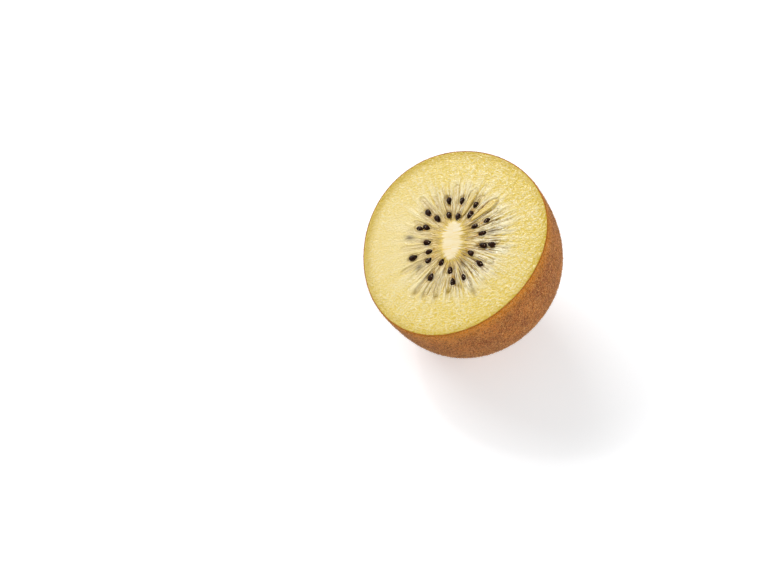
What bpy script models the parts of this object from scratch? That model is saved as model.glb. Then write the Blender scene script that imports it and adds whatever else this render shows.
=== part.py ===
# Half of a golden kiwi fruit, cut straight across its middle, resting on a small flat spot of its skin.
# Lengths are in metres and +Z is up. The origin is the middle of the flat spot. The cut face looks up
# and forwards, towards -Y. The fruit is one grown body, so it is one object, with the seeds fused in.

import math
import random

import bmesh
import bpy
from mathutils import Matrix, Vector

# The fruit's size and stance
FACE_RADIUS = 0.025  # mean radius of the cut face
HALF_DEPTH = 0.036  # from the cut face to the stalk end
BARREL_POWER = 2.8  # 2 is an ellipsoid, and more gives straighter flanks and a blunter end
LEAN = math.radians(25)  # of the fruit's axis from upright
FLAT_SINK = 0.0007  # how much of the round skin the flat spot takes off

# The cross-section is a little oval and a little three-cornered
BROAD_AXIS = math.radians(142)  # direction of the longer diameter, and of the core
OVAL_SHARE = 0.023
CORNER_SHARE = 0.02
CORNER_AXIS = math.radians(61)

# The cut face. Its rings, and the ends of the locules, are shares of its radius
RIM_ROUNDING = 0.0003
CORE_LONG, CORE_SHORT = 0.0057, 0.0028  # half lengths
CORE_EDGE = 0.25  # softness of the core's edge, as a share of its size
CORE_RISE = 0.00025
LOCULES = 30
LOCULE_SINK = 0.0004
LOCULE_INNER = (0.18, 0.29)  # where a locule begins to sink, and is fully sunk
LOCULE_OUTER = (0.52, 0.67)  # where it begins to rise again, and is gone
FACE_RINGS = (0.05, 0.1, 0.15, 0.2, 0.25, 0.31, 0.38, 0.45, 0.52, 0.58, 0.64, 0.76, 0.9, 0.988)

# The seeds lie in every other locule, in an inner and an outer ring
SEED_RAYS = LOCULES // 2
SEED_START = math.radians(12)
SEED_RINGS = (0.30, 0.44)
SEED_TURN_DRIFT = math.radians(6)
SEED_RING_DRIFT = 0.05
SEED_MISSING = 0.12
SEED_DRAW = 194
SEED_LENGTH, SEED_WIDTH, SEED_THICKNESS = 0.0023, 0.0015, 0.0011
SEED_TAPER = 0.5  # how much narrower the end towards the core is
SEED_DEPTH = 0.15  # how far its middle lies under the cut, as a share of its thickness
SEED_SIDES, SEED_BANDS = 10, 6

# The stalk end. The pairs are the radii where an edge begins and ends
STALK_DIMPLE = 0.0011
DIMPLE_RADIUS = 0.0045
SCAR_RISE = 0.0008
SCAR_EDGE = (0.00204, 0.00276)
SCAR_CUP_DEPTH = SCAR_RISE / 2
SCAR_CUP_RADIUS = 0.00168
SEPALS = 5
SEPAL_RISE = 0.00045
SEPAL_ROOT = (0.0024, 0.00312)
SEPAL_TIP = (0.004, 0.0052)

# How finely the body is turned, and where a crease stays sharp
TURN_STEPS = LOCULES * 4
DOME_STEPS = tuple(math.radians(a) for a in (2, 6, 12, 20, 29, 38, 47, 56, 64, 71, 75.5, 79, 82, 84.5, 87))
SHARP_ANGLE = math.radians(40)
MERGE_DISTANCE = 0.00001

# Colour and roughness of each surface
SURFACES = {
    "skin": ((0.36, 0.17, 0.065), 0.75),
    "flesh": ((0.82, 0.68, 0.2), 0.35),
    "core": ((0.93, 0.84, 0.55), 0.45),
    "seed": ((0.02, 0.013, 0.01), 0.3),
}
SURFACE_NAMES = list(SURFACES)


def smooth_step(low, high, value):
    share = min(1.0, max(0.0, (value - low) / (high - low)))
    return share * share * (3 - 2 * share)


def outline(angle):
    """The fruit's radius in this direction, as a share of its mean radius."""
    oval = OVAL_SHARE * math.cos(2 * (angle - BROAD_AXIS))
    corners = CORNER_SHARE * math.cos(3 * (angle - CORNER_AXIS))
    return 1 + oval + corners


def dome_profile(step):
    """(radius, depth) of the skin, from step 0 at the cut to 90 degrees at the stalk end."""
    return FACE_RADIUS * math.cos(step), HALF_DEPTH * math.sin(step) ** (2 / BARREL_POWER)


def core_share(x, y):
    """1 on the core, 0 off it, with a soft edge."""
    turned = Matrix.Rotation(-BROAD_AXIS, 2) @ Vector((x, y))
    reach = math.hypot(turned.x / CORE_LONG, turned.y / CORE_SHORT)
    return 1 - smooth_step(1 - CORE_EDGE, 1 + CORE_EDGE, reach)


def face_relief(x, y):
    """Height of the cut face: the core stands up, and the locules are sunk between their walls."""
    share = math.hypot(x, y) / FACE_RADIUS
    window = smooth_step(*LOCULE_INNER, share) * (1 - smooth_step(*LOCULE_OUTER, share))
    fluting = (1 + math.cos(LOCULES * (math.atan2(y, x) - SEED_START))) / 2
    core = core_share(x, y)
    return CORE_RISE * core - LOCULE_SINK * window * fluting * (1 - core)


def stalk_relief(x, y):
    """How far the stalk end stands out: a dimple, the round scar in it, and five dry sepals about it."""
    reach = math.hypot(x, y)
    dimple = STALK_DIMPLE * math.exp(-((reach / DIMPLE_RADIUS) ** 2))
    scar = SCAR_RISE * (1 - smooth_step(*SCAR_EDGE, reach))
    cup = SCAR_CUP_DEPTH * (1 - smooth_step(0, SCAR_CUP_RADIUS, reach))
    ring = smooth_step(*SEPAL_ROOT, reach) * (1 - smooth_step(*SEPAL_TIP, reach))
    lobes = max(0.0, math.cos(SEPALS * math.atan2(y, x)))
    return scar - cup - dimple + SEPAL_RISE * ring * lobes


def shaped(point):
    """Where a point of the plain turned body goes on the real, uneven fruit."""
    wide = outline(math.atan2(point.y, point.x))
    x, y, z = point.x * wide, point.y * wide, point.z
    if z > -RIM_ROUNDING / 2:
        return Vector((x, y, z + face_relief(x, y)))
    if z < -HALF_DEPTH / 2:
        z -= stalk_relief(x, y)
    return Vector((x, y, z))


def new_material(name):
    colour, roughness = SURFACES[name]
    material = bpy.data.materials.new(name)
    material.use_nodes = True
    shader = material.node_tree.nodes["Principled BSDF"]
    shader.inputs["Base Color"].default_value = (*colour, 1)
    shader.inputs["Roughness"].default_value = roughness
    shader.inputs["Metallic"].default_value = 0
    return material


def turned_body(collection):
    """The half fruit as a turned body: the cut face's middle, the rim, the skin, the stalk end."""
    profile = [(0, 0)]
    profile += [(FACE_RADIUS * ring, 0) for ring in FACE_RINGS]
    profile += [(FACE_RADIUS, -RIM_ROUNDING)]
    profile += [(radius, -depth) for radius, depth in map(dome_profile, DOME_STEPS)]
    profile += [(0, -HALF_DEPTH)]
    mesh = bpy.data.meshes.new("profile")
    edges = [(i, i + 1) for i in range(len(profile) - 1)]
    mesh.from_pydata([(radius, 0, height) for radius, height in profile], edges, [])
    plain = bpy.data.objects.new("profile", mesh)
    collection.objects.link(plain)
    screw = plain.modifiers.new("turn", "SCREW")
    screw.steps = screw.render_steps = TURN_STEPS
    screw.use_merge_vertices = True
    screw.merge_threshold = MERGE_DISTANCE
    turned = evaluated_mesh(plain)
    bpy.data.objects.remove(plain)
    return turned


def evaluated_mesh(thing):
    """A mesh of the object as its modifiers leave it."""
    bpy.context.view_layer.update()
    return bpy.data.meshes.new_from_object(thing.evaluated_get(bpy.context.evaluated_depsgraph_get()))


def surface_of(polygon):
    """Index of the material that this face of the shaped fruit shows."""
    centre = polygon.center
    rim = FACE_RADIUS * FACE_RINGS[-1] * outline(math.atan2(centre.y, centre.x))
    if centre.z < -2 * LOCULE_SINK or centre.xy.length > rim:
        return SURFACE_NAMES.index("skin")
    return SURFACE_NAMES.index("core" if core_share(centre.x, centre.y) > 0.5 else "flesh")


def seed_places():
    """(x, y, angle) of each seed on the cut face. The draw is seeded, so it is the same each time."""
    draw = random.Random(SEED_DRAW)
    places = []
    for ray in range(SEED_RAYS):
        for ring in SEED_RINGS:
            angle = SEED_START + 2 * math.pi * ray / SEED_RAYS
            angle += draw.uniform(-SEED_TURN_DRIFT, SEED_TURN_DRIFT)
            reach = FACE_RADIUS * (ring + draw.uniform(-SEED_RING_DRIFT, SEED_RING_DRIFT))
            if draw.random() > SEED_MISSING:
                places.append((reach * math.cos(angle), reach * math.sin(angle), angle))
    return places


def add_seed(number, place, collection, materials):
    """A flattened drop, its pointed end towards the core, half sunk in its locule."""
    x, y, angle = place
    body = bmesh.new()
    bmesh.ops.create_uvsphere(body, u_segments=SEED_SIDES, v_segments=SEED_BANDS, radius=0.5)
    bmesh.ops.rotate(body, verts=body.verts, matrix=Matrix.Rotation(math.pi / 2, 3, "Y"))
    for vertex in body.verts:
        vertex.co.y *= 1 + SEED_TAPER * vertex.co.x
    bmesh.ops.scale(body, verts=body.verts, vec=(SEED_LENGTH, SEED_WIDTH, SEED_THICKNESS))
    mesh = bpy.data.meshes.new(f"seed_{number:02d}")
    body.to_mesh(mesh)
    body.free()
    for material in materials:
        mesh.materials.append(material)
    for polygon in mesh.polygons:
        polygon.material_index = SURFACE_NAMES.index("seed")
    seed = bpy.data.objects.new(f"seed_{number:02d}", mesh)
    seed.location = (x, y, -SEED_THICKNESS * SEED_DEPTH)
    seed.rotation_euler.z = angle
    seed.hide_render = True
    seed.display_type = "WIRE"
    collection.objects.link(seed)


def fuse_seeds(fruit, seeds):
    """Joins every seed to the fruit in one union, and removes the loose ones."""
    union = fruit.modifiers.new("seeds", "BOOLEAN")
    union.operation = "UNION"
    union.operand_type = "COLLECTION"
    union.collection = seeds
    joined = evaluated_mesh(fruit)
    fruit.modifiers.remove(union)
    fruit.data = joined
    for seed in list(seeds.objects):
        bpy.data.objects.remove(seed)


def lowest_skin_point():
    """The lowest point of the round skin once the fruit leans, relative to the cut face's middle."""
    stance = Matrix.Rotation(LEAN, 3, "X")
    lowest = Vector((0, 0, 0))
    for step in range(1, 90):
        radius, depth = dome_profile(math.radians(step))
        for turn in range(360):
            angle = math.radians(turn)
            wide = radius * outline(angle)
            point = stance @ Vector((wide * math.cos(angle), wide * math.sin(angle), -depth))
            if point.z < lowest.z:
                lowest = point
    return lowest


def stand(fruit, cutters):
    """Leans the fruit, puts its lowest point at the origin and cuts the flat spot there."""
    lowest = lowest_skin_point()
    fruit.rotation_euler.x = LEAN
    fruit.location = (-lowest.x, -lowest.y, -lowest.z - FLAT_SINK)
    bpy.ops.mesh.primitive_cube_add(size=2 * FACE_RADIUS, location=(0, 0, -FACE_RADIUS))
    table = bpy.context.object
    table.name = "table_cutter"
    table.hide_render = True
    table.display_type = "WIRE"
    for owner in list(table.users_collection):
        owner.objects.unlink(table)
    cutters.objects.link(table)
    flat_spot = fruit.modifiers.new("flat_spot", "BOOLEAN")
    flat_spot.operation = "DIFFERENCE"
    flat_spot.object = table


def main():
    for old in list(bpy.data.objects):
        bpy.data.objects.remove(old)
    fruit_parts = bpy.data.collections.new("golden_kiwi")
    cutters = bpy.data.collections.new("seeds_and_table")
    for collection in (fruit_parts, cutters):
        bpy.context.scene.collection.children.link(collection)
    materials = [new_material(name) for name in SURFACE_NAMES]

    mesh = turned_body(fruit_parts)
    for vertex in mesh.vertices:
        vertex.co = shaped(vertex.co)
    for material in materials:
        mesh.materials.append(material)
    for polygon in mesh.polygons:
        polygon.material_index = surface_of(polygon)
    mesh.shade_smooth()
    mesh.set_sharp_from_angle(angle=SHARP_ANGLE)
    fruit = bpy.data.objects.new("golden_kiwi_half", mesh)
    fruit_parts.objects.link(fruit)

    for number, place in enumerate(seed_places()):
        add_seed(number, place, cutters, materials)
    fuse_seeds(fruit, cutters)
    stand(fruit, cutters)


main()
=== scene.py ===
# The cut half of a golden kiwi fruit on a white table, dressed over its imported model
import cmath
import math
import random

import bmesh
import bpy
from mathutils import Matrix, Vector, kdtree, noise


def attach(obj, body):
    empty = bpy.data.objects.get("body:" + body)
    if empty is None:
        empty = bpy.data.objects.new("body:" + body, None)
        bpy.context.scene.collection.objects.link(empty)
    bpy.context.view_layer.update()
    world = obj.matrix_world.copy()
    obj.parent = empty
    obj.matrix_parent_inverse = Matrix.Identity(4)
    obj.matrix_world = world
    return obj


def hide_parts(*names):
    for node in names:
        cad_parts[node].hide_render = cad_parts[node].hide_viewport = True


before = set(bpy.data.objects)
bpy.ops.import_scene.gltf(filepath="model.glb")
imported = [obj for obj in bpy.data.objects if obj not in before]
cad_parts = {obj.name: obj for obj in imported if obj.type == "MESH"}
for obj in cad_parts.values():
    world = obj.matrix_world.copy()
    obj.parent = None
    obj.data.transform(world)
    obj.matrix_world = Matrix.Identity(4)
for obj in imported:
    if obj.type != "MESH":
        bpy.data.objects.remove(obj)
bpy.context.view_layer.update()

node = "golden_kiwi_half"

# The form that every piece follows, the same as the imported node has
fruit = {
    "faceRadius": 0.025,  # mean radius of the cut
    "halfDepth": 0.036,  # from the cut to the stalk end
    "barrelPower": 2.8,  # 2 is an ellipsoid, more is blunter
    "broadAxis": math.radians(142),  # of the oval outline and of the core
    "ovalShare": 0.023,
    "cornerAxis": math.radians(61),
    "cornerShare": 0.02,
    "lean": math.radians(25),  # of the fruit's axis from upright
    "flatSink": 0.0007,  # what the flat spot takes off
}


def smoothStep(low, high, value):
    share = min(1.0, max(0.0, (value - low) / (high - low)))
    return share * share * (3 - 2 * share)


def outline(angle):
    oval = fruit["ovalShare"] * math.cos(2 * (angle - fruit["broadAxis"]))
    corners = fruit["cornerShare"] * math.cos(3 * (angle - fruit["cornerAxis"]))
    return 1 + oval + corners


def domeProfile(step):  # radius and depth of the skin, from the cut at 0 to the stalk end at 90 degrees
    depth = fruit["halfDepth"] * math.sin(step) ** (2 / fruit["barrelPower"])
    return fruit["faceRadius"] * math.cos(step), depth


def standingPlace():  # leans the fruit and lets it down on its flat spot
    lean = Matrix.Rotation(fruit["lean"], 4, "X")
    lowest = Vector()
    for step in range(1, 90):
        radius, depth = domeProfile(math.radians(step))
        for turn in range(360):
            angle = math.radians(turn)
            wide = radius * outline(angle)
            point = lean @ Vector((wide * math.cos(angle), wide * math.sin(angle), -depth))
            if point.z < lowest.z:
                lowest = point
    return Matrix.Translation((-lowest.x, -lowest.y, -lowest.z - fruit["flatSink"])) @ lean


standing = standingPlace()


def inScene(name, data):  # a new object, linked to the scene
    made = bpy.data.objects.new(name, data)
    bpy.context.scene.collection.objects.link(made)
    return made


# Camera: the picture's middle, lens and viewing angle
cameraView = {
    "lens": 100,  # mm, on a 36 mm wide sensor
    "azimuth": math.radians(60.72),
    "elevation": math.radians(50.52),
    "distance": 0.534,  # to the middle of the cut
    "right": 0.0165,  # how far the middle of the cut is right of and above the picture's middle
    "up": 0.0122,
}


def directionFrom(azimuth, elevation):
    flat = math.cos(elevation)
    return Vector((math.sin(azimuth) * flat, -math.cos(azimuth) * flat, math.sin(elevation)))


def placeCamera():
    back = directionFrom(cameraView["azimuth"], cameraView["elevation"])
    turn = back.to_track_quat("Z", "Y")
    right = turn @ Vector((1, 0, 0))
    up = turn @ Vector((0, 1, 0))
    lens = bpy.data.cameras.new("camera")
    lens.lens = cameraView["lens"]
    camera = inScene("camera", lens)
    middle = standing @ Vector((0, 0, 0))
    aim = middle - cameraView["right"] * right - cameraView["up"] * up
    camera.location = aim + cameraView["distance"] * back
    camera.rotation_euler = turn.to_euler()
    bpy.context.scene.camera = camera


placeCamera()
print("camera placed")

# Small tools for the shader trees


def paint(red, green, blue):  # a colour as a paint chart gives it, 0 to 255
    def linear(part):
        part /= 255
        return part / 12.92 if part <= 0.04045 else ((part + 0.055) / 1.055) ** 2.4

    return (linear(red), linear(green), linear(blue), 1)


def feed(tree, socket, value):
    if isinstance(value, bpy.types.NodeSocket):
        tree.links.new(value, socket)
    else:
        socket.default_value = value


def attribute(tree, name, output="Fac"):
    reader = tree.nodes.new("ShaderNodeAttribute")
    reader.attribute_name = name
    return reader.outputs[output]


def mixed(tree, amount, first, second):
    mixer = tree.nodes.new("ShaderNodeMix")
    mixer.data_type = "RGBA"
    feed(tree, mixer.inputs[0], amount)
    feed(tree, mixer.inputs[6], first)
    feed(tree, mixer.inputs[7], second)
    return mixer.outputs[2]


def blended(tree, colour, colours, layers):  # paints each colour over the last, by its mask
    for mask, strength, name in layers:
        colour = mixed(tree, times(tree, mask, strength), colour, colours[name])
    return colour


def computed(tree, operation, first, second=0.0):
    maths = tree.nodes.new("ShaderNodeMath")
    maths.operation = operation
    feed(tree, maths.inputs[0], first)
    feed(tree, maths.inputs[1], second)
    return maths.outputs[0]


def times(tree, first, second):
    return computed(tree, "MULTIPLY", first, second)


def ranged(tree, value, low, high, start=0.0, end=1.0):
    mapper = tree.nodes.new("ShaderNodeMapRange")
    mapper.interpolation_type = "SMOOTHSTEP"
    for socket, given in zip(mapper.inputs, (value, low, high, start, end)):
        feed(tree, socket, given)
    return mapper.outputs[0]


def noiseValue(tree, vector, scale, detail=2.0, roughness=0.5, distortion=0.0):
    texture = tree.nodes.new("ShaderNodeTexNoise")
    feed(tree, texture.inputs["Vector"], vector)
    feed(tree, texture.inputs["Scale"], scale)
    feed(tree, texture.inputs["Detail"], detail)
    feed(tree, texture.inputs["Roughness"], roughness)
    feed(tree, texture.inputs["Distortion"], distortion)
    return texture.outputs["Fac"]


def newGroup(name, sockets):  # a node group that gives one Value
    group = bpy.data.node_groups.new(name, "ShaderNodeTree")
    for socketName, default in sockets.items():
        socket = group.interface.new_socket(socketName, in_out="INPUT", socket_type="NodeSocketFloat")
        socket.default_value = default
    group.interface.new_socket("Value", in_out="OUTPUT", socket_type="NodeSocketFloat")
    given = group.nodes.new("NodeGroupInput")
    result = group.nodes.new("NodeGroupOutput")
    return group, given.outputs, result.inputs["Value"]


def makeGrainGroup():  # even grain of a chosen size, 0 to 1
    group, given, result = newGroup("evenGrain", {"Size mm": 0.5, "Contrast": 0.5})
    place = group.nodes.new("ShaderNodeTexCoord").outputs["Object"]
    scale = computed(group, "DIVIDE", 1000.0, given["Size mm"])
    grain = noiseValue(group, place, scale, 2.0, 0.55)
    reach = times(group, given["Contrast"], 0.44)
    feed(group, result, ranged(group, grain, reach, computed(group, "SUBTRACT", 1.0, reach)))
    return group


def makeFleckGroup():  # scattered small flecks, 1 in a fleck
    group, given, result = newGroup("flecks", {"Spacing mm": 1.0, "Size": 0.25, "Share": 0.5})
    place = group.nodes.new("ShaderNodeTexCoord").outputs["Object"]
    cells = group.nodes.new("ShaderNodeTexVoronoi")
    feed(group, cells.inputs["Vector"], place)
    feed(group, cells.inputs["Scale"], computed(group, "DIVIDE", 1000.0, given["Spacing mm"]))
    chosen = group.nodes.new("ShaderNodeSeparateColor")
    feed(group, chosen.inputs[0], cells.outputs["Color"])
    here = computed(group, "LESS_THAN", chosen.outputs[0], given["Share"])
    half = times(group, given["Size"], 0.5)
    dot = ranged(group, cells.outputs["Distance"], half, given["Size"], 1.0, 0.0)
    feed(group, result, times(group, dot, here))
    return group


grainGroup = makeGrainGroup()
fleckGroup = makeFleckGroup()


def grouped(tree, group, **values):
    user = tree.nodes.new("ShaderNodeGroup")
    user.node_tree = group
    for name, value in values.items():
        feed(tree, user.inputs[name.replace("_", " ")], value)
    return user.outputs["Value"]


def newMaterial(name):
    material = bpy.data.materials.new(name)
    material.use_nodes = True
    return material, material.node_tree, material.node_tree.nodes["Principled BSDF"]


def bumped(tree, shader, height, strength, distance):
    bump = tree.nodes.new("ShaderNodeBump")
    bump.inputs["Strength"].default_value = strength
    bump.inputs["Distance"].default_value = distance
    feed(tree, bump.inputs["Height"], height)
    feed(tree, shader.inputs["Normal"], bump.outputs["Normal"])


# Small tools for the meshes


def spunBody(profile, steps, marks):  # a chain from the axis back to the axis, turned into a closed body
    bm = bmesh.new()
    layers = {name: bm.verts.layers.float.new(name) for name in marks}
    chain = [bm.verts.new((point[0], 0, point[1])) for point in profile]
    for vertex, point in zip(chain, profile):
        for layer, value in zip(layers.values(), point[2:]):
            vertex[layer] = value
    edges = [bm.edges.new(pair) for pair in zip(chain, chain[1:])]
    wedgeSteps = 60
    wedges = steps // wedgeSteps  # one wedge is turned, then copied round, which is much quicker
    wedge = 2 * math.pi / wedges
    axis = {"cent": (0, 0, 0), "axis": (0, 0, 1), "dvec": (0, 0, 0)}
    bmesh.ops.spin(bm, geom=chain + edges, angle=wedge, steps=wedgeSteps, **axis)
    whole = list(bm.verts) + list(bm.edges) + list(bm.faces)
    bmesh.ops.spin(bm, geom=whole, angle=2 * math.pi - wedge, steps=wedges - 1, use_duplicate=True, **axis)
    bmesh.ops.remove_doubles(bm, verts=bm.verts, dist=0.000002)  # the seams between wedges
    bmesh.ops.recalc_face_normals(bm, faces=bm.faces)
    return bm


insideTurns = (4, 10, 20, 35, 50, 64, 74, 81, 86)  # degrees from the cut, for the rings of an inner wall


def innerWall(gap, growth, endGap):  # follows the skin's outside from within, further in at the stalk end
    wall = []
    for turn in insideTurns:
        radius, depth = domeProfile(math.radians(turn))
        inward = gap * (1 + growth * turn / 90)
        wall.append((max(radius - inward, 0.0005), inward - depth, 0))
    wall.append((0, endGap - fruit["halfDepth"], 0))
    return wall


def standUp(bm, floorGap=0.0):  # to its place in the frame, and no lower than the gap over the table
    bmesh.ops.transform(bm, matrix=standing, verts=bm.verts)
    for vertex in bm.verts:
        vertex.co.z = max(vertex.co.z, floorGap)


def putInOrder(parts, placeOf):  # operators may order a mesh differently each run
    for number, part in enumerate(sorted(parts, key=placeOf)):
        part.index = number
    parts.sort(key=lambda part: part.index)


def finished(bm, name, material):
    putInOrder(bm.verts, lambda vertex: vertex.co[:])
    putInOrder(bm.faces, lambda face: face.calc_center_median()[:])
    mesh = bpy.data.meshes.new(name)
    bm.to_mesh(mesh)
    bm.free()
    return finishedMesh(mesh, name, material)


def finishedMesh(mesh, name, material):
    mesh.materials.clear()
    mesh.materials.append(material)
    mesh.shade_smooth()
    piece = inScene(name, mesh)
    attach(piece, "root")
    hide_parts(node)
    print(name, "made:", len(mesh.polygons), "faces")
    return piece


# Seeds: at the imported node's places on the cut, finer and pitted
seeds = {
    "rays": 15,
    "start": math.radians(12),
    "rings": (0.30, 0.44),  # shares of the cut's radius
    "turnDrift": math.radians(6),
    "ringDrift": 0.05,
    "missing": 0.12,
    "draw": 194,
    "length": 0.0023,
    "width": 0.0015,
    "thickness": 0.0011,
    "sizes": (0.82, 1.02),
    "tilt": 0.2,  # radians, either way
    "roll": 0.35,
    "sunk": 0.15,  # as a share of the thickness
    "taper": 0.5,
    "sides": 28,
    "bands": 20,
    "pitSize": 0.00022,
    "pitDepth": 0.035,  # as a share of the seed's size
    "dark": paint(18, 6, 2),
    "brown": paint(54, 26, 10),
    # pale specks: partly the seed's own speckle, partly painted glints of its wet coat
    "speckleAndGlint": paint(196, 176, 154),
}


def spotOut(reach, angle):  # a spot on the cut, with the way that it points
    return reach * math.cos(angle), reach * math.sin(angle), angle


def seedPlaces():  # the seeds that show, then those that stay buried
    draw = random.Random(seeds["draw"])
    shown, buried = [], []
    for ray in range(seeds["rays"]):
        for ring in seeds["rings"]:
            angle = seeds["start"] + 2 * math.pi * ray / seeds["rays"]
            angle += draw.uniform(-seeds["turnDrift"], seeds["turnDrift"])
            reach = fruit["faceRadius"] * (ring + draw.uniform(-seeds["ringDrift"], seeds["ringDrift"]))
            (shown if draw.random() > seeds["missing"] else buried).append(spotOut(reach, angle))
    return shown, buried


def treeOf(spots):  # finds the nearest of some spots on the cut
    tree = kdtree.KDTree(len(spots))
    for number, spot in enumerate(spots):
        tree.insert((spot[0], spot[1], 0), number)
    tree.balance()
    return tree


shownSeeds, buriedSeeds = seedPlaces()
nearestSeed = treeOf(shownSeeds)


def makeSeeds(material):
    bm = bmesh.new()
    draw = random.Random(seeds["draw"] + 1)
    for seedX, seedY, seedAngle in shownSeeds:
        size = draw.uniform(*seeds["sizes"])
        elsewhere = Vector((seedX, seedY, 0)) * 9000  # so that no two seeds are pitted alike
        made = bmesh.ops.create_uvsphere(bm, u_segments=seeds["sides"], v_segments=seeds["bands"],
                                         radius=0.5)
        bmesh.ops.rotate(bm, verts=made["verts"], matrix=Matrix.Rotation(math.pi / 2, 3, "Y"))
        for vertex in made["verts"]:
            vertex.co.y *= 1 + seeds["taper"] * vertex.co.x
            pit = noise.noise(vertex.co * seeds["length"] / seeds["pitSize"] + elsewhere)
            vertex.co *= 1 + seeds["pitDepth"] * pit
        bmesh.ops.scale(bm, verts=made["verts"],
                        vec=Vector((seeds["length"], seeds["width"], seeds["thickness"])) * size)
        tilt = Matrix.Rotation(draw.uniform(-seeds["tilt"], seeds["tilt"]), 3, "Y")
        roll = Matrix.Rotation(draw.uniform(-seeds["roll"], seeds["roll"]), 3, "X")
        bmesh.ops.rotate(bm, verts=made["verts"], matrix=Matrix.Rotation(seedAngle, 3, "Z") @ (tilt @ roll))
        bmesh.ops.translate(bm, verts=made["verts"], vec=(seedX, seedY, -seeds["thickness"] * seeds["sunk"]))
    standUp(bm)
    return finished(bm, "kiwi_seeds", material)


def makeSeedMaterial():
    material, tree, shader = newMaterial("darkSeed")
    grain = grouped(tree, grainGroup, Size_mm=0.5, Contrast=0.7)
    # pale specks: some real speckle, and painted glints
    speckleGlints = grouped(tree, fleckGroup, Spacing_mm=0.45, Size=0.32, Share=0.4)
    colour = mixed(tree, grain, seeds["dark"], seeds["brown"])
    colour = blended(tree, colour, seeds, ((speckleGlints, 0.85, "speckleAndGlint"),))
    feed(tree, shader.inputs["Base Color"], colour)
    feed(tree, shader.inputs["Roughness"], ranged(tree, grain, 0.0, 1.0, 0.25, 0.5))
    shader.inputs["Specular IOR Level"].default_value = 0.05
    shader.inputs["Specular Tint"].default_value = (1, 0.7, 0.45, 1)
    shader.inputs["Coat Weight"].default_value = 0.12
    shader.inputs["Coat Roughness"].default_value = 0.06
    bumped(tree, shader, grain, 0.6, 0.00008)
    return material


# Flesh: the cut face with its core, locules, walls and wet grain
flesh = {
    "turnSteps": 540,
    "rings": 150,
    "skinGap": 0.00028,  # from the outside of the skin to the flesh
    "rimInset": 0.00020,  # from the outside of the skin to the rounded rim
    "rimRounding": 0.00018,
    "rimDrop": 0.0001,  # how far down the rounded rim goes
    "wallStart": 0.00004,  # from there down to where the flesh meets the skin
    "floorGap": 0.0008,  # it stays above the skin's flat spot
    "coreLong": 0.0058,
    "coreShort": 0.0034,
    "coreRise": 0.00022,
    "fringe": 0.24,  # how ragged the core's edge is
    "tufts": 15,  # a count, here and below, is of noise cells round the core, over two pi
    "wisps": 33,
    "zoneEnd": 0.645,  # where the locules end, as a share of the radius
    "zoneWaves": 5,
    "zoneTeeth": 17,
    "streaks": 12,
    "threads": 27,
    "veins": 21,
    "veinPatch": 0.0017,  # the veins come and go in patches of this size
    "streakRelief": 0.00013,
    "threadRelief": 0.00018,
    "grainSize": 0.00044,
    "grainLength": 1.7,  # the grain is drawn out along the cut
    "cutAngle": math.radians(63),
    "grainRelief": 0.00007,
    "plainAngle": math.radians(230),  # the side painted paler as a broad wet sheen, with calmer relief
    "plainReach": 0.60,  # of its middle, as a share of the radius
    "plainLength": 0.0076,
    "plainWidth": 0.0115,
    "veinDepth": 0.00018,
    "seatDepth": 0.0001,  # the flesh dips round a seed
    "amberGap": 0.0014,  # from a seed's middle to the stalk that held it
    "amberSize": (0.0005, 0.00035),
    "ghostSize": (0.0013, 0.0007),  # of a buried seed's shadow
    "oliveAngle": math.radians(318),  # the side where the locules end in small hollows
    "oliveSpread": math.radians(40),
    "oliveSize": (0.0010, 0.0006),
    "oliveDepth": 0.00012,
    "rimShadeAngle": math.radians(195),  # the side where shade is painted into the rim, as a deeper gold
    "rimShadeSpread": math.radians(85),
}

# Locules: the pockets that hold the seeds, in a ring round the core
locules = {
    "count": 30,
    "start": math.radians(12),
    "wander": math.radians(2.0),  # of a locule from its even place
    "wallWander": 0.012,  # radians that its walls bend
    "wallBend": 0.0016,  # the length over which they bend
    "halfWidth": (math.radians(3.2), math.radians(5.4)),
    "fullWidth": math.radians(5.6),
    "depth": (0.00010, 0.00040),
    "fillRise": 0.00038,
    "innerEnd": (0.20, 0.30),  # shares of the radius
    "outerEnd": (0.50, 0.66),
    "goldAngle": math.radians(106),  # where every second pocket is full of golden gel
    "goldSpread": math.radians(20),
    "goldEnds": (0.25, 0.63),
    "someGold": (0.0, 0.6),  # in the other pockets
    "greyAngle": math.radians(20),  # where the gel is clear and grey
    "greySpread": math.radians(62),
    "mostGrey": (0.1, 0.9),
    "someGrey": (0.0, 0.35),
    "draw": 7,
}


def angleBetween(first, second):
    return abs((first - second + math.pi) % (2 * math.pi) - math.pi)


def drawLocules():
    draw = random.Random(locules["draw"])
    goldInner, goldOuter = locules["goldEnds"]
    drawn = []
    for number in range(locules["count"]):
        angle = locules["start"] + 2 * math.pi * number / locules["count"]
        fromGold = angleBetween(angle, locules["goldAngle"]) / locules["goldSpread"]
        fromGrey = angleBetween(angle, locules["greyAngle"]) / locules["greySpread"]
        gold = math.exp(-(fromGold ** 4)) * (number % 2)
        grey = math.exp(-(fromGrey ** 2))
        drawn.append({
            "angle": angle + draw.uniform(-locules["wander"], locules["wander"]),
            "halfWidth": (1 - gold) * draw.uniform(*locules["halfWidth"]) + gold * locules["fullWidth"],
            "depth": draw.uniform(*locules["depth"]),
            "innerEnd": (1 - gold) * draw.uniform(*locules["innerEnd"]) + gold * goldInner,
            "outerEnd": (1 - gold) * draw.uniform(*locules["outerEnd"]) + gold * goldOuter,
            "gold": max(gold, draw.uniform(*locules["someGold"])),
            "grey": (1 - gold) * min(1.0, draw.uniform(*locules["someGrey"])
                                     + grey * draw.uniform(*locules["mostGrey"])),
        })
    return drawn


drawnLocules = drawLocules()
coreFocus = math.sqrt(flesh["coreLong"] ** 2 - flesh["coreShort"] ** 2)
coreEdge = math.atanh(flesh["coreShort"] / flesh["coreLong"])
plainTurn = cmath.exp(1j * flesh["plainAngle"])
plainMiddle = flesh["plainReach"] * fruit["faceRadius"] * plainTurn


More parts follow.
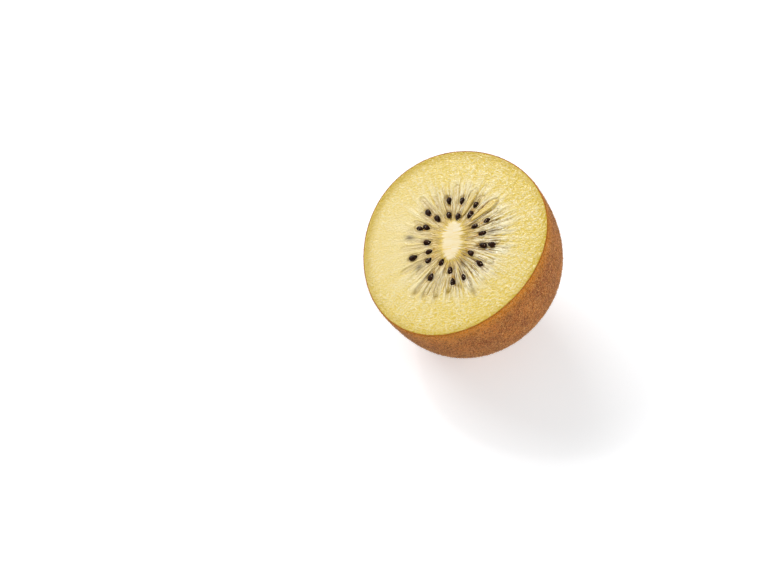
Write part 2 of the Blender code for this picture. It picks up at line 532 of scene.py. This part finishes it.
def pocketAt(ray, share):  # which locule this is, and how deep in its pocket
    step = 2 * math.pi / locules["count"]
    locule = drawnLocules[round((ray - locules["start"]) / step) % locules["count"]]
    across = angleBetween(ray, locule["angle"]) / locule["halfWidth"]
    middle = (locule["innerEnd"] + locule["outerEnd"]) / 2
    along = (share - middle) / (locule["outerEnd"] - locule["innerEnd"]) * 2
    return locule, smoothStep(0.0, 0.6, 1 - across * across - along ** 4)


def seenFrom(spot, x, y):  # how far along and across the spot's own direction the place is
    return complex(x - spot[0], y - spot[1]) * cmath.exp(-1j * spot[2])


def spotAt(spots, tree, x, y, length, width):  # 1 in the middle of the nearest long spot, fading outwards
    away = seenFrom(spots[tree.find((x, y, 0))[1]], x, y)
    return math.exp(-((away.real / length) ** 2) - (away.imag / width) ** 2)


buriedTree = treeOf(buriedSeeds)
amberSpots = [(x - flesh["amberGap"] * math.cos(turn), y - flesh["amberGap"] * math.sin(turn), turn)
              for x, y, turn in shownSeeds[::2]]
amberTree = treeOf(amberSpots)
oliveSpots = [spotOut(locule["outerEnd"] * fruit["faceRadius"], locule["angle"]) for locule in drawnLocules
              if angleBetween(locule["angle"], flesh["oliveAngle"]) < flesh["oliveSpread"]]
oliveTree = treeOf(oliveSpots)


def fromSeed(x, y):  # 1 just outside the outline of the nearest seed, more further out
    away = seenFrom(shownSeeds[nearestSeed.find((x, y, 0))[1]], x, y)
    return math.hypot(away.real / (0.55 * seeds["length"]), away.imag / (0.6 * seeds["width"]))


def plainAt(x, y):  # 1 in the middle of the side with the painted wet sheen and the calmer relief
    away = (complex(x, y) - plainMiddle) / plainTurn
    along = away.real / flesh["plainLength"]
    across = away.imag / flesh["plainWidth"]
    return math.exp(-0.5 * (along ** 2 + across ** 2))


def wetGrain(x, y):  # the grain there, and the place in it, drawn out the way that the knife went
    laid = complex(x, y) * cmath.exp(-1j * flesh["cutAngle"]) / flesh["grainSize"]
    spot = Vector((laid.real / flesh["grainLength"], laid.imag, 0))
    bendX = noise.noise(spot * 0.6 + Vector((5, 0, 0)))
    bendY = noise.noise(spot * 0.6 + Vector((0, 9, 0)))
    crests = 1 - 2.4 * abs(noise.noise(spot + Vector((bendX, bendY, 0)) * 0.8))
    return crests + 0.5 * noise.noise(spot * 2.1), spot


def cutFace(x, y):  # the height of the cut there, what shows, its place among the rays and in the grain
    turn = math.atan2(y, x)
    share = math.hypot(x, y) / (fruit["faceRadius"] * outline(turn))
    turned = complex(x, y) * cmath.exp(-1j * fruit["broadAxis"])
    fanned = cmath.acosh(turned / coreFocus)  # the walls leave the core square to its edge
    ray = fanned.imag + fruit["broadAxis"]
    rayX, rayY = math.cos(ray), math.sin(ray)

    def streaky(cells, along):  # noise that runs out from the core
        return noise.noise(Vector((rayX * cells, rayY * cells, along)))

    ragged = streaky(flesh["tufts"], 3.0) + 0.7 * streaky(flesh["wisps"], 9.0)
    fromCore = fanned.real - coreEdge + flesh["fringe"] * ragged
    core = 1 - smoothStep(-0.26, 0.16, fromCore)
    plain = plainAt(x, y)
    wander = locules["wallWander"] * noise.noise(Vector((x, y, 7)) / locules["wallBend"])
    locule, pocket = pocketAt(ray + wander, share)
    pocket *= (1 - core) * (1 - 0.75 * plain)
    around = fromSeed(x, y)
    edge = flesh["zoneEnd"] + 0.07 * streaky(flesh["zoneWaves"], 1.0)
    edge += 0.06 * streaky(flesh["zoneTeeth"], 2.0)
    zone = (1 - core) * (1 - smoothStep(edge - 0.10, edge + 0.07, share))
    streak = streaky(flesh["streaks"], share * 2.0)
    thread = streaky(flesh["threads"], share * 4.5 + 4.0)
    vein = 1 - smoothStep(0.02, 0.11, abs(streaky(flesh["veins"], share * 6.0 + 20.0)))
    vein *= smoothStep(-0.15, 0.2, noise.noise(Vector((x, y, 0.07)) / flesh["veinPatch"]))
    filled = pocket * locule["gold"] ** 2
    calm = (1 - 0.92 * plain) * (1 - 0.9 * filled)  # little relief shows in gel and on the side with the painted sheen
    olive = spotAt(oliveSpots, oliveTree, x, y, *flesh["oliveSize"]) * smoothStep(0.1, 0.5, 1 - plain)
    fromGold = angleBetween(turn, flesh["rimShadeAngle"]) / flesh["rimShadeSpread"]
    grain, laid = wetGrain(x, y)
    meaty = smoothStep(0.42, 0.68, share) * (1 - 0.6 * plain * smoothStep(1.0, 0.75, share))
    grooveAndShade = 4 * pocket * (1 - pocket)  # along a pocket's edge: a real dip in the gold pockets, and painted shade in the colour
    height = flesh["coreRise"] * core
    height -= locule["depth"] * pocket * (1 - locule["gold"])
    height += locules["fillRise"] * locule["gold"] * (pocket - grooveAndShade)
    height += (flesh["streakRelief"] * streak + flesh["threadRelief"] * thread) * zone * calm
    height -= flesh["veinDepth"] * vein * zone * calm
    height += flesh["grainRelief"] * (grain - 0.6) * meaty
    height -= flesh["seatDepth"] * (1 - smoothStep(0.9, 1.6, around))
    height -= flesh["oliveDepth"] * olive
    return height, {
        "share": share,
        "core": core,
        "coreRim": 1 - smoothStep(0.12, 0.6, fromCore),
        "pocket": pocket,
        "grooveAndShade": grooveAndShade * zone,
        "gold": pocket * locule["gold"],
        "grey": pocket * locule["grey"] * zone,
        "gel": math.exp(-(((around - 1.9) / 0.7) ** 2)) * (1 - core) * (1 - 0.8 * filled),
        "seatShade": math.exp(-(((around - 1.1) / 0.18) ** 2)),
        "zone": zone * calm,
        "streak": 0.5 + 0.5 * streak,
        "thread": 0.5 + 0.5 * thread,
        "vein": vein,
        "grain": min(1.0, max(0.0, grain * 0.8)) * meaty,
        "plain": plain,
        "olive": olive,
        "rimShade": math.exp(-(fromGold ** 2)) * smoothStep(0.86, 0.98, share),
        "ghost": spotAt(buriedSeeds, buriedTree, x, y, *flesh["ghostSize"]),
        "amber": spotAt(amberSpots, amberTree, x, y, *flesh["amberSize"]),
    }, (rayX, rayY, share), laid


masks = ("share", "core", "coreRim", "pocket", "grooveAndShade", "gold", "grey", "gel", "seatShade", "zone",
         "streak", "thread", "vein", "grain", "plain", "olive", "rimShade", "ghost", "amber")


def makeFlesh(material):
    rounding = flesh["rimRounding"]
    flat = fruit["faceRadius"] - flesh["rimInset"] - rounding
    profile = [(flat * ring / flesh["rings"], 0, 1) for ring in range(flesh["rings"] + 1)]
    for turn in (25, 50, 75, 90):  # the rounded rim
        angle = math.radians(turn)
        profile.append((flat + rounding * math.sin(angle), flesh["rimDrop"] * (math.cos(angle) - 1), 1))
    profile.append((fruit["faceRadius"] - flesh["skinGap"], -flesh["rimDrop"] - flesh["wallStart"], 1))
    profile += innerWall(flesh["skinGap"], 1, 3 * flesh["skinGap"])
    bm = spunBody(profile, flesh["turnSteps"], ("onCut",) + masks)
    onCut = bm.verts.layers.float["onCut"]
    layers = [bm.verts.layers.float[name] for name in masks]
    rayLayer = bm.verts.layers.float_vector.new("ray")
    laidLayer = bm.verts.layers.float_vector.new("laid")
    for vertex in bm.verts:
        wide = outline(math.atan2(vertex.co.y, vertex.co.x))
        vertex.co.x *= wide
        vertex.co.y *= wide
        if vertex[onCut] < 0.5:
            continue
        height, shows, ray, laid = cutFace(vertex.co.x, vertex.co.y)
        vertex.co.z += height
        vertex[rayLayer] = ray
        vertex[laidLayer] = laid
        for name, layer in zip(masks, layers):
            vertex[layer] = shows[name]
    standUp(bm, flesh["floorGap"])
    return finished(bm, "kiwi_flesh", material)


fleshColours = {
    "core": paint(240, 226, 193),
    "coreEdge": paint(232, 200, 90),
    "coreRim": paint(216, 170, 36),
    "inner": paint(226, 197, 84),
    "outer": paint(228, 198, 66),
    "nearRim": paint(225, 194, 56),
    "rim": paint(212, 180, 32),
    "wall": paint(250, 239, 202),
    "glint": paint(255, 252, 240),
    "gold": paint(226, 190, 60),
    "grey": paint(192, 184, 154),
    "gel": paint(214, 184, 92),
    # painted shade: a dark golden-brown ring just outside each seed, where it sits in the flesh
    "seatShade": paint(150, 104, 16),
    # painted shade along the pockets' edges
    "grooveAndShade": paint(146, 98, 10),
    "darkLine": paint(146, 92, 0),
    # pale crests of the wet grain, partly painted highlights
    "crestPaleAndHighlight": paint(244, 230, 178),
    # painted highlight: a broad pale wet sheen on one side
    "plain": paint(241, 224, 170),
    "olive": paint(168, 136, 16),
    # painted shade on one side of the rim, a deeper gold
    "rimShade": paint(202, 170, 20),
    "ghost": paint(92, 76, 60),
    "shadow": paint(84, 54, 16),
    "amber": paint(200, 148, 30),
}


def makeFleshMaterial():
    material, tree, shader = newMaterial("goldenFlesh")
    reads = {name: attribute(tree, name) for name in masks}
    share = reads["share"]

    def alongRays(scale):  # a place for noise that runs out from the core
        mapping = tree.nodes.new("ShaderNodeMapping")
        mapping.inputs["Scale"].default_value = scale
        feed(tree, mapping.inputs["Vector"], attribute(tree, "ray", "Vector"))
        return mapping.outputs[0]

    stretched = alongRays((52, 52, 7))
    hair = noiseValue(tree, stretched, 0.7, 2.0, 0.6)  # fine threads
    spots = noiseValue(tree, alongRays((34, 34, 20)), 1.0, 1.0)  # short glints and shadows
    spotted = computed(tree, "ADD", times(tree, reads["grey"], 0.8), 0.35)
    broad = noiseValue(tree, stretched, 0.2, 1.0)
    ripple = noiseValue(tree, attribute(tree, "laid", "Vector"), 1.25, 2.0, 0.6, 0.4)
    fine = ranged(tree, ripple, 0.37, 0.66)
    meaty = computed(tree, "SUBTRACT", 1.0, times(tree, ranged(tree, share, 0.90, 0.99), 0.6))
    both = computed(tree, "ADD", times(tree, reads["grain"], 0.6), times(tree, fine, 0.6))
    # pale crests of the wet grain, with painted highlights on them
    paleCrestsAndHighlights = times(tree, ranged(tree, both, 0.2, 0.95), ranged(tree, broad, 0.35, 0.6, 0.65, 1.0))
    paleCrestsAndHighlights = times(tree, paleCrestsAndHighlights, times(tree, meaty, ranged(tree, share, 0.4, 0.6)))
    wavy = times(tree, computed(tree, "SUBTRACT", broad, 0.5), 0.06)
    edge = computed(tree, "ADD", share, wavy)
    fringed = computed(tree, "ADD", reads["core"], ranged(tree, hair, 0.35, 0.65, 0.2, -0.2))

    def during(mask, low, high):  # a mask's range, only among the locules
        return times(tree, ranged(tree, mask, low, high), reads["zone"])

    def near(mask, low, high):  # the same, weaker away from the core
        return times(tree, during(mask, low, high), ranged(tree, share, 0.36, 0.58, 1.0, 0.4))

    colour = mixed(tree, ranged(tree, share, 0.34, 0.66), fleshColours["inner"], fleshColours["outer"])
    colour = blended(tree, colour, fleshColours, (
        (ranged(tree, edge, 0.78, 0.95), 1.0, "nearRim"),
        (during(reads["streak"], 0.50, 0.68), 0.5, "wall"),
        # broad pale patches in the painted sheen's colour, fading out towards the rim
        (times(tree, ranged(tree, broad, 0.44, 0.60), ranged(tree, share, 0.88, 0.62)), 0.4, "plain"),
        (reads["gold"], 0.7, "gold"),
        (reads["grey"], 0.75, "grey"),
        (reads["gel"], 0.3, "gel"),
        (during(reads["thread"], 0.50, 0.62), 0.6, "wall"),
        (near(reads["thread"], 0.42, 0.32), 0.4, "darkLine"),
        (during(hair, 0.48, 0.43), 1.0, "wall"),
        (near(hair, 0.57, 0.61), 0.9, "darkLine"),
        (near(reads["vein"], 0.2, 0.9), 0.4, "darkLine"),
        (times(tree, near(spots, 0.62, 0.68), spotted), 1.0, "shadow"),
        (times(tree, during(spots, 0.40, 0.33), spotted), 1.0, "glint"),
        (times(tree, during(hair, 0.57, 0.62), reads["grey"]), 1.0, "shadow"),
        # painted shade along the pockets' edges
        (reads["grooveAndShade"], 0.34, "grooveAndShade"),
        (ranged(tree, edge, 0.90, 0.99), 1.0, "rim"),
        (paleCrestsAndHighlights, 0.9, "crestPaleAndHighlight"),
        # the painted broad wet sheen
        (reads["plain"], 0.55, "plain"),
        # painted shade on one side of the rim
        (reads["rimShade"], 0.85, "rimShade"),
        (reads["olive"], 0.75, "olive"),
        (reads["ghost"], 0.8, "ghost"),
        # painted shade round each seed's seat
        (reads["seatShade"], 0.45, "seatShade"),
        (reads["amber"], 0.8, "amber"),
        (times(tree, reads["coreRim"], ranged(tree, hair, 0.62, 0.46)), 0.55, "coreRim"),
        (ranged(tree, fringed, 0.1, 0.5), 0.95, "coreEdge"),
        (ranged(tree, fringed, 0.55, 1.25), 1.0, "core"),
    ))
    feed(tree, shader.inputs["Base Color"], colour)
    feed(tree, shader.inputs["Roughness"], ranged(tree, reads["pocket"], 0.0, 1.0, 0.42, 0.22))
    shader.inputs["Specular IOR Level"].default_value = 0.2
    shader.inputs["Coat Weight"].default_value = 0.22
    shader.inputs["Coat Roughness"].default_value = 0.12
    shader.inputs["Subsurface Weight"].default_value = 0.2
    shader.inputs["Subsurface Radius"].default_value = (1.0, 0.85, 0.4)
    shader.inputs["Subsurface Scale"].default_value = 0.0008
    offCore = computed(tree, "SUBTRACT", 1.0, reads["core"])
    strands = times(tree, times(tree, hair, reads["zone"]), 2.0)
    relief = computed(tree, "ADD", times(tree, fine, 0.5), strands)
    bumped(tree, shader, times(tree, relief, offCore), 0.8, 0.00016)
    return material


# Skin: a thin shell with an uneven surface, a flat spot and the stalk end's scar
skin = {
    "turnSteps": 480,
    "thickness": 0.00024,
    "rimDrop": 0.00005,  # the cut skin has drawn back a little from the face
    "calmRim": 0.0006,  # the dents and the grain fade in over this depth
    "outerSteps": 130,
    "dentSize": 0.005,
    "dentDepth": 0.00005,
    "grainSize": 0.0011,
    "grainRelief": 0.00003,
    "glowDepth": 0.0065,  # how far under the cut the light flesh shines through
    "stalkDimple": 0.0011,
    "dimpleRadius": 0.0045,
    "scarRise": 0.0008,
    "scarEdge": (0.00204, 0.00276),
    "scarCupRadius": 0.00168,
    "sepals": 5,
    "sepalRise": 0.00045,
    "sepalRoot": (0.0024, 0.00312),
    "sepalTip": (0.0040, 0.0052),
}


def stalkRelief(x, y):  # how far the stalk end stands out there, and how woody it is
    reach = math.hypot(x, y)
    dimple = skin["stalkDimple"] * math.exp(-((reach / skin["dimpleRadius"]) ** 2))
    scar = 1 - smoothStep(*skin["scarEdge"], reach)
    cup = 0.5 * skin["scarRise"] * (1 - smoothStep(0, skin["scarCupRadius"], reach))
    ring = smoothStep(*skin["sepalRoot"], reach) * (1 - smoothStep(*skin["sepalTip"], reach))
    lobes = ring * max(0.0, math.cos(skin["sepals"] * math.atan2(y, x)))
    return skin["scarRise"] * scar - cup - dimple + skin["sepalRise"] * lobes, max(scar, lobes)


def makeSkin(material):
    outer = [(0.0, fruit["halfDepth"])]
    for step in range(skin["outerSteps"]):
        share = step / (skin["outerSteps"] - 1)
        angle = math.radians(89.3 * (1 - share) ** 1.5 + 0.7)  # the rings are closer near the cut
        outer.append(domeProfile(angle))
    profile = [(radius, -depth, 1) for radius, depth in outer]
    rim = fruit["faceRadius"]
    profile.append((rim, -skin["rimDrop"] - 0.3 * skin["thickness"], 1))  # the cut edge, a little rounded
    profile.append((rim - 0.3 * skin["thickness"], -skin["rimDrop"], 1))
    profile.append((rim - 0.8 * skin["thickness"], -skin["rimDrop"], 0))
    profile.append((rim - skin["thickness"], -skin["rimDrop"] - 0.3 * skin["thickness"], 0))
    profile += innerWall(skin["thickness"], 0.8, 2 * skin["thickness"])
    bm = spunBody(profile, skin["turnSteps"], ("outside", "woody"))
    outside = bm.verts.layers.float["outside"]
    woody = bm.verts.layers.float["woody"]
    below = bm.verts.layers.float.new("below")
    bm.normal_update()
    for vertex in bm.verts:
        wide = outline(math.atan2(vertex.co.y, vertex.co.x))
        x, y, z = vertex.co
        vertex[below] = min(1.0, -z / skin["glowDepth"])
        vertex.co.x = x * wide
        vertex.co.y = y * wide
        if vertex[outside] < 0.5:
            continue
        if z < -fruit["halfDepth"] / 2:  # at the stalk end
            out, vertex[woody] = stalkRelief(vertex.co.x, vertex.co.y)
            vertex.co.z -= out
        dent = noise.noise(vertex.co / skin["dentSize"])
        grain = noise.noise(vertex.co / skin["grainSize"])
        fade = smoothStep(0.0, skin["calmRim"], -z)
        vertex.co += vertex.normal * fade * (skin["dentDepth"] * dent + skin["grainRelief"] * grain)
    standUp(bm)
    return finished(bm, "kiwi_skin", material)


skinColours = {
    "light": paint(192, 112, 44),
    "dark": paint(160, 86, 34),
    "blotch": paint(116, 58, 24),
    "glow": paint(222, 136, 22),
    "cutEdge": paint(180, 100, 18),
    "fleck": paint(244, 184, 104),
    "pit": paint(60, 26, 8),
    "wood": paint(92, 66, 44),
    "fuzzDark": paint(150, 88, 38),
    "fuzzLight": paint(236, 184, 110),
}


def makeSkinMaterial():
    material, tree, shader = newMaterial("velvetSkin")
    place = tree.nodes.new("ShaderNodeTexCoord").outputs["Object"]
    broad = noiseValue(tree, place, 130, 3.0, 0.6)  # patches of about 8 mm
    patches = noiseValue(tree, place, 420, 3.0, 0.6)  # and of about 2 mm
    grain = grouped(tree, grainGroup, Size_mm=0.5, Contrast=0.6)
    smallFlecks = grouped(tree, fleckGroup, Spacing_mm=0.32, Size=0.5, Share=0.6)
    largeFlecks = grouped(tree, fleckGroup, Spacing_mm=0.5, Size=0.42, Share=0.5)
    dusty = ranged(tree, patches, 0.62, 0.36, 0.4, 1.0)
    uneven = computed(tree, "ADD", attribute(tree, "below"), times(tree, broad, 0.3))
    glow = ranged(tree, uneven, 1.1, 0.05)
    colour = mixed(tree, ranged(tree, broad, 0.38, 0.62), skinColours["dark"], skinColours["light"])
    colour = blended(tree, colour, skinColours, (
        (ranged(tree, patches, 0.50, 0.70), 0.5, "blotch"),
        (glow, 0.95, "glow"),
        (times(tree, ranged(tree, grain, 0.6, 0.1), ranged(tree, glow, 0.0, 1.0, 1.0, 0.55)), 0.65, "pit"),
        (times(tree, smallFlecks, dusty), 0.85, "fleck"),
        (times(tree, largeFlecks, dusty), 0.9, "fleck"),
        (ranged(tree, attribute(tree, "below"), 0.07, 0.03), 0.75, "cutEdge"),
        (attribute(tree, "woody"), 1.0, "wood"),
    ))
    feed(tree, shader.inputs["Base Color"], colour)
    feed(tree, shader.inputs["Roughness"], ranged(tree, grain, 0.0, 1.0, 0.8, 0.55))
    shader.inputs["Specular IOR Level"].default_value = 0.15
    shader.inputs["Sheen Weight"].default_value = 0.22
    shader.inputs["Sheen Roughness"].default_value = 0.4
    shader.inputs["Sheen Tint"].default_value = paint(240, 180, 130)
    relief = computed(tree, "ADD", computed(tree, "ADD", grain, smallFlecks), largeFlecks)
    bumped(tree, shader, relief, 0.9, 0.00016)
    return material


# Fuzz: short three-sided hairs lying every way on the skin
fuzz = {
    "perSquareMm": 9,
    "length": 0.00045,
    "rootRadius": 0.000028,
    "lying": (math.radians(35), math.radians(84)),  # from upright
    "scale": (0.55, 1.25),
    "floorGap": 0.0007,  # none grow where the skin meets the table
    "draw": 5,
}


def growthNodes():
    tree = bpy.data.node_groups.new("fuzzGrowth", "GeometryNodeTree")
    tree.interface.new_socket("Geometry", in_out="INPUT", socket_type="NodeSocketGeometry")
    tree.interface.new_socket("Geometry", in_out="OUTPUT", socket_type="NodeSocketGeometry")

    def added(kind, **values):
        made = tree.nodes.new(kind)
        for name, value in values.items():
            feed(tree, made.inputs[name.replace("_", " ")], value)
        return made

    def drawn(low, high, number):
        chance = tree.nodes.new("FunctionNodeRandomValue")
        vector = isinstance(low, tuple)
        chance.data_type = "FLOAT_VECTOR" if vector else "FLOAT"
        sockets = [socket for socket in chance.inputs if socket.enabled and socket.name in ("Min", "Max")]
        feed(tree, sockets[0], low)
        feed(tree, sockets[1], high)
        chance.inputs["Seed"].default_value = number
        return next(socket for socket in chance.outputs if socket.enabled)

    given = tree.nodes.new("NodeGroupInput").outputs[0]
    outside = added("GeometryNodeInputNamedAttribute", Name="outside").outputs[0]
    place = added("GeometryNodeInputPosition").outputs[0]
    height = added("ShaderNodeSeparateXYZ", Vector=place).outputs[2]
    free = computed(tree, "GREATER_THAN", height, fuzz["floorGap"])
    here = times(tree, free, computed(tree, "GREATER_THAN", outside, 0.99))
    scattered = added("GeometryNodeDistributePointsOnFaces", Mesh=given, Selection=here,
                      Density=fuzz["perSquareMm"] * 1e6, Seed=fuzz["draw"])
    hair = added("GeometryNodeMeshCone", Vertices=3, Radius_Top=0.0,
                 Radius_Bottom=fuzz["rootRadius"], Depth=fuzz["length"])
    hair.fill_type = "NONE"
    leaning = drawn((fuzz["lying"][0], 0, 0), (fuzz["lying"][1], 0, 2 * math.pi), 1)
    turned = added("FunctionNodeRotateRotation", Rotation=scattered.outputs["Rotation"], Rotate_By=leaning)
    turned.rotation_space = "LOCAL"
    scale = drawn(*fuzz["scale"], 2)
    placed = added("GeometryNodeInstanceOnPoints", Points=scattered.outputs["Points"],
                   Instance=hair.outputs["Mesh"], Rotation=turned.outputs[0], Scale=scale)
    real = added("GeometryNodeRealizeInstances", Geometry=placed.outputs[0])
    tree.links.new(real.outputs[0], tree.nodes.new("NodeGroupOutput").inputs[0])
    return tree


def makeFuzz(skinPiece, material):
    growing = inScene("growing", skinPiece.data)
    growing.modifiers.new("growth", "NODES").node_group = growthNodes()
    bpy.context.view_layer.update()
    grown = growing.evaluated_get(bpy.context.evaluated_depsgraph_get())
    mesh = bpy.data.meshes.new_from_object(grown)
    bpy.data.objects.remove(growing)
    return finishedMesh(mesh, "kiwi_fuzz", material)


def makeFuzzMaterial():
    material, tree, shader = newMaterial("skinFuzz")
    mottled = grouped(tree, grainGroup, Size_mm=0.5, Contrast=0.9)
    colour = mixed(tree, mottled, skinColours["fuzzDark"], skinColours["fuzzLight"])
    feed(tree, shader.inputs["Base Color"], colour)
    feed(tree, shader.inputs["Roughness"], ranged(tree, mottled, 0.0, 1.0, 0.75, 0.5))
    shader.inputs["Specular IOR Level"].default_value = 0.3
    return material


# Table and light: a white table in a bright soft surrounding, a large soft light, a small one and a fill
light = {
    "tableHalf": 3,  # half the table's width
    "tableColour": (0.74, 0.755, 0.77, 1),
    "surroundings": 0.38,
    "tableGlow": 0.42,  # keeps the table white and its shadows light
    "lamps": {  # azimuth and elevation in degrees, width and height in metres, watts
        "softBox": (-78, 40, 1.2, 0.8, 14.5),
        "spark": (-70, 50, 0.09, 0.09, 1.4),
        "sideFill": (130, 24, 1.4, 0.9, 9),
    },
    "lampDistance": 1.3,
}


def makeStage():
    bm = bmesh.new()
    bmesh.ops.create_grid(bm, x_segments=1, y_segments=1, size=light["tableHalf"])
    mesh = bpy.data.meshes.new("table_top")
    bm.to_mesh(mesh)
    bm.free()
    table = inScene("table_top", mesh)
    material, _, shader = newMaterial("whiteTable")
    shader.inputs["Base Color"].default_value = light["tableColour"]
    shader.inputs["Roughness"].default_value = 0.7
    shader.inputs["Specular IOR Level"].default_value = 0.2
    shader.inputs["Emission Color"].default_value = (1, 1, 1, 1)
    shader.inputs["Emission Strength"].default_value = light["tableGlow"]
    mesh.materials.append(material)


def makeLight():
    world = bpy.data.worlds.new("softWhite")
    world.use_nodes = True
    world.node_tree.nodes["Background"].inputs["Color"].default_value = (1, 1, 1, 1)
    world.node_tree.nodes["Background"].inputs["Strength"].default_value = light["surroundings"]
    bpy.context.scene.world = world
    bpy.context.scene.view_settings.view_transform = "Standard"
    for name, (azimuth, elevation, width, height, power) in light["lamps"].items():
        lamp = bpy.data.lights.new(name, "AREA")
        lamp.shape = "RECTANGLE"
        lamp.size = width
        lamp.size_y = height
        lamp.energy = power
        holder = inScene(name, lamp)
        towards = directionFrom(math.radians(azimuth), math.radians(elevation))
        holder.location = towards * light["lampDistance"]
        holder.rotation_euler = towards.to_track_quat("Z", "Y").to_euler()


makeStage()
makeLight()
print("table and light placed")
makeFlesh(makeFleshMaterial())
makeFuzz(makeSkin(makeSkinMaterial()), makeFuzzMaterial())
makeSeeds(makeSeedMaterial())
